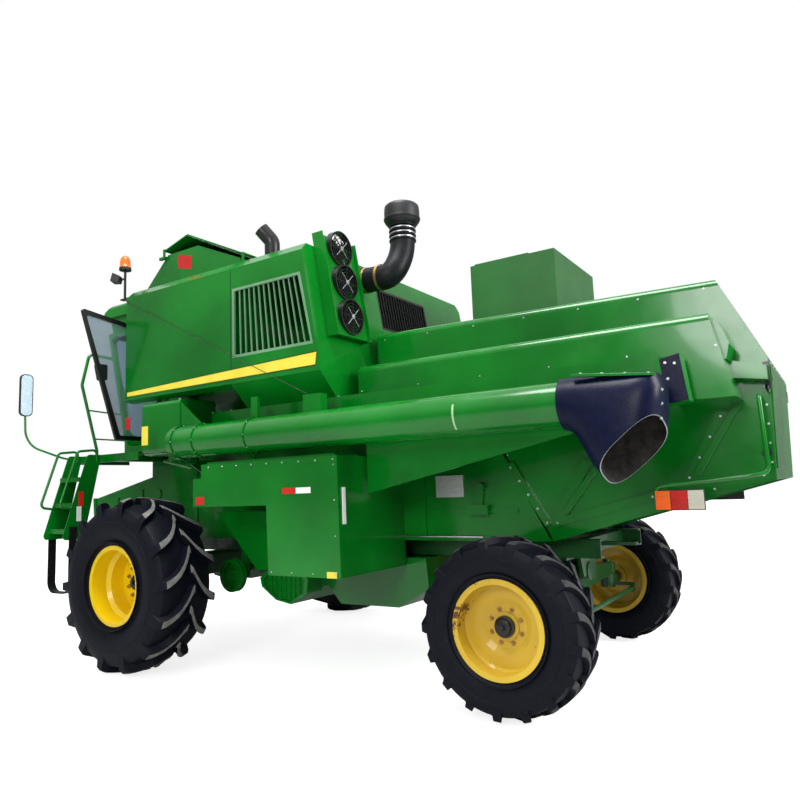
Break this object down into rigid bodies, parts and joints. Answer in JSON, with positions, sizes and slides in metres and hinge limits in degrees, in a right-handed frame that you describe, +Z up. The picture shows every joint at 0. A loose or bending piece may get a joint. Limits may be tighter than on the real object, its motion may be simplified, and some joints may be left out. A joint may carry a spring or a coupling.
{
  "type": "combine harvester",
  "caption": "Self-propelled combine harvester without its header: cab, grain tank, folded unloading auger, straw hood, feeder house and steered rear axle.",
  "frame": {"origin": "on the ground below the middle of the machine's box", "axes": "+X forward, +Y to the machine's left, +Z up"},
  "size_m": [7.5, 3.9, 4.15],
  "materials": {
    "black_paint": "satin",
    "black_plastic": "matte",
    "black_rubber": "matte",
    "bright_steel": "bright",
    "engine_iron": "painted",
    "galvanised": "dull",
    "green_paint": "gloss enamel",
    "lamp_plastic": "clear",
    "olive_paint": "satin enamel",
    "seat_fabric": "woven",
    "tyre_rubber": "matte",
    "window_glass": "clear",
    "yellow_paint": "gloss enamel"
  },
  "bodies": {
    "root": {"air_intake": "black_rubber", "auger_pivot_base": "green_paint", "beacon": "lamp_plastic", "belt_drives": "green_paint", "cab_glass": "window_glass", "cab_roof": "green_paint", "cab_shell": "green_paint", "cleaning_shoe": "green_paint", "cooler_panel": "green_paint", "drive_axle": "green_paint", "drive_shield": "green_paint", "engine_block": "engine_iron", "engine_housing": "green_paint", "exhaust_pipe": "black_paint", "fan_guards": "black_paint", "fuel_tank": "olive_paint", "grain_elevator": "green_paint", "grain_tank": "green_paint", "guard_rail": "green_paint", "ladder": "green_paint", "main_frame": "green_paint", "mirrors": "black_plastic", "operator_seat": "seat_fabric", "platform": "green_paint", "rear_axle": "green_paint", "rear_screen": "black_paint", "side_covers": "green_paint", "side_grille": "green_paint", "steer_barrel": "black_paint", "steering_console": "black_plastic", "step_strap": "black_rubber", "straw_hood": "green_paint", "straw_walkers": "galvanised", "tail_lamps": "lamp_plastic", "tank_extension": "green_paint", "threshing_body": "green_paint"},
    "wheel_front_left": {"front_rim_left": "yellow_paint", "front_tyre_left": "tyre_rubber"},
    "wheel_front_right": {"front_rim_right": "yellow_paint", "front_tyre_right": "tyre_rubber"},
    "steer_left": {"knuckle_left": "green_paint"},
    "steer_right": {"knuckle_right": "green_paint"},
    "wheel_rear_left": {"rear_rim_left": "yellow_paint", "rear_tyre_left": "tyre_rubber"},
    "wheel_rear_right": {"rear_rim_right": "yellow_paint", "rear_tyre_right": "tyre_rubber"},
    "tie_rod": {"tie_rod": "green_paint"},
    "steer_rod": {"steer_rod": "bright_steel"},
    "feeder": {"feeder_house": "green_paint"},
    "lift_barrels": {"lift_barrels": "black_paint"},
    "lift_rods": {"lift_rods": "bright_steel"},
    "auger": {"auger_tube": "green_paint", "auger_spout": "black_rubber"},
    "cab_door": {"cab_door": "black_paint", "cab_door_glass": "window_glass"},
    "lid_front": {"tank_lid_front": "green_paint"},
    "lid_rear": {"tank_lid_rear": "green_paint"},
    "fan_1": {"fan_rotor_1": "black_plastic"},
    "fan_2": {"fan_rotor_2": "black_plastic"},
    "fan_3": {"fan_rotor_3": "black_plastic"}
  },
  "joints": [
    {"name": "wheel_front_left", "type": "hinge", "parent": "root", "child": "wheel_front_left", "pos_m": [1.55, 1.635, 0.785], "axis": [0, 1, 0], "continuous": true},
    {"name": "wheel_front_right", "type": "hinge", "parent": "root", "child": "wheel_front_right", "pos_m": [1.55, -1.635, 0.785], "axis": [0, 1, 0], "continuous": true},
    {"name": "steer_left", "type": "hinge", "parent": "root", "child": "steer_left", "pos_m": [-2.05, 1.01, 0.605], "axis": [0, 0, 1], "range_deg": [-30, 30]},
    {"name": "steer_right", "type": "hinge", "parent": "root", "child": "steer_right", "pos_m": [-2.05, -1.01, 0.605], "axis": [0, 0, 1], "range_deg": [-31, 31]},
    {"name": "wheel_rear_left", "type": "hinge", "parent": "steer_left", "child": "wheel_rear_left", "pos_m": [-2.05, 1.335, 0.605], "axis": [0, 1, 0], "continuous": true},
    {"name": "wheel_rear_right", "type": "hinge", "parent": "steer_right", "child": "wheel_rear_right", "pos_m": [-2.05, -1.335, 0.605], "axis": [0, 1, 0], "continuous": true},
    {"name": "tie_rod", "type": "hinge", "parent": "steer_left", "child": "tie_rod", "pos_m": [-2.28, 1.01, 0.535], "axis": [0, 0, 1], "range_deg": [-31, 31]},
    {"name": "steer_rod", "type": "slide", "parent": "root", "child": "steer_rod", "axis": [0, 1, 0], "range_m": [-0.105, 0.105]},
    {"name": "feeder_lift", "type": "hinge", "parent": "root", "child": "feeder", "pos_m": [2.33, 0, 1.6], "axis": [0, -1, 0], "range_deg": [-12, 22]},
    {"name": "lift_barrels", "type": "hinge", "parent": "root", "child": "lift_barrels", "pos_m": [1.74, 0, 0.73], "axis": [0, -1, 0], "range_deg": [-6, 10]},
    {"name": "lift_rods", "type": "slide", "parent": "lift_barrels", "child": "lift_rods", "axis": [0.9748, 0, 0.2232], "range_m": [-0.16, 0.27]},
    {"name": "auger_swing", "type": "hinge", "parent": "root", "child": "auger", "pos_m": [1.26, 1.34, 2.05], "axis": [0, 0, -1], "range_deg": [0, 90]},
    {"name": "cab_door", "type": "hinge", "parent": "root", "child": "cab_door", "pos_m": [2.02, 1.01, 2.8], "axis": [0, 0, -1], "range_deg": [0, 90]},
    {"name": "lid_front", "type": "hinge", "parent": "root", "child": "lid_front", "pos_m": [1.43, 0, 4.016], "axis": [0, 1, 0], "range_deg": [0, 95]},
    {"name": "lid_rear", "type": "hinge", "parent": "root", "child": "lid_rear", "pos_m": [0.33, 0, 3.746], "axis": [0, -1, 0], "range_deg": [0, 65]},
    {"name": "fan_1", "type": "hinge", "parent": "root", "child": "fan_1", "pos_m": [-0.59113, 1.135, 3.04], "axis": [1, 0, 0], "continuous": true},
    {"name": "fan_2", "type": "hinge", "parent": "root", "child": "fan_2", "pos_m": [-0.53933, 1.135, 3.355], "axis": [1, 0, 0], "continuous": true},
    {"name": "fan_3", "type": "hinge", "parent": "root", "child": "fan_3", "pos_m": [-0.48753, 1.135, 3.67], "axis": [1, 0, 0], "continuous": true}
  ],
  "couplings": [
    {"joint": "steer_right", "follows": "steer_left", "ratio": 1},
    {"joint": "tie_rod", "follows": "steer_left", "ratio": -1},
    {"joint": "steer_rod", "follows": "steer_left", "m_per_rad": 0.187},
    {"joint": "lift_barrels", "follows": "feeder_lift", "ratio": 0.44},
    {"joint": "lift_rods", "follows": "feeder_lift", "m_per_rad": 0.685}
  ]
}
